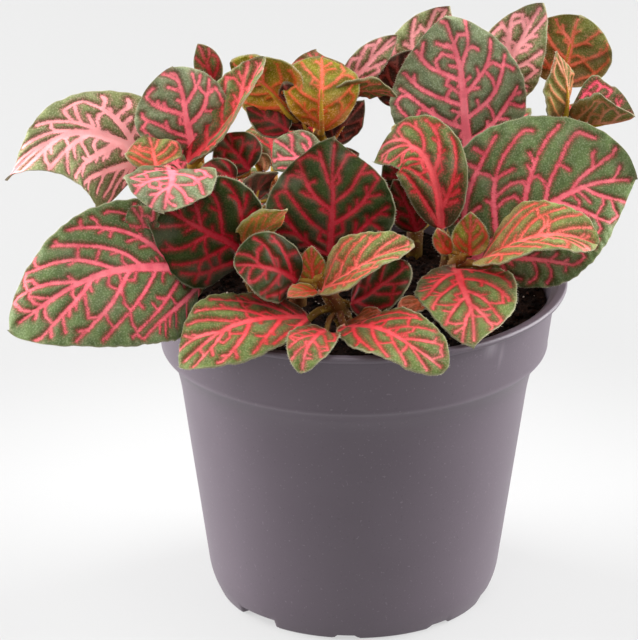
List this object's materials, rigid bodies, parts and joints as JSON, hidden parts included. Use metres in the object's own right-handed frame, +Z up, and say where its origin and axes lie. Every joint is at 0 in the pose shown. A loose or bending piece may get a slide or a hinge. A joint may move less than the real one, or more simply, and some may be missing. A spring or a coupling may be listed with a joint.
{
  "type": "potted nerve plant",
  "caption": "Low bushy nerve plant with broad dark green leaves and pink-red veins, growing in soil in a round grey plastic nursery pot with a flanged lip and a foot ring.",
  "frame": {"origin": "on the surface that the pot stands on, below the middle of the bounding box of pot and leaves", "axes": "+Z up, -Y towards the viewer in the picture, +X to the viewer's right"},
  "size_m": [0.1324, 0.1076, 0.1234],
  "materials": {
    "pot_plastic": "satin, thermoformed, faintly speckled",
    "soil": "loose dark peat with pale grains",
    "foliage": "velvety leaves with sunken pink-red veins"
  },
  "bodies": {
    "root": {"pot": "pot_plastic", "soil": "soil", "shoot_front": "foliage", "shoot_right_front": "foliage", "shoot_left": "foliage", "shoot_left_back": "foliage", "shoot_centre_left": "foliage", "shoot_centre_back": "foliage", "shoot_right_back": "foliage", "shoot_right": "foliage", "shoot_back": "foliage", "shoot_back_left": "foliage"}
  },
  "joints": []
}
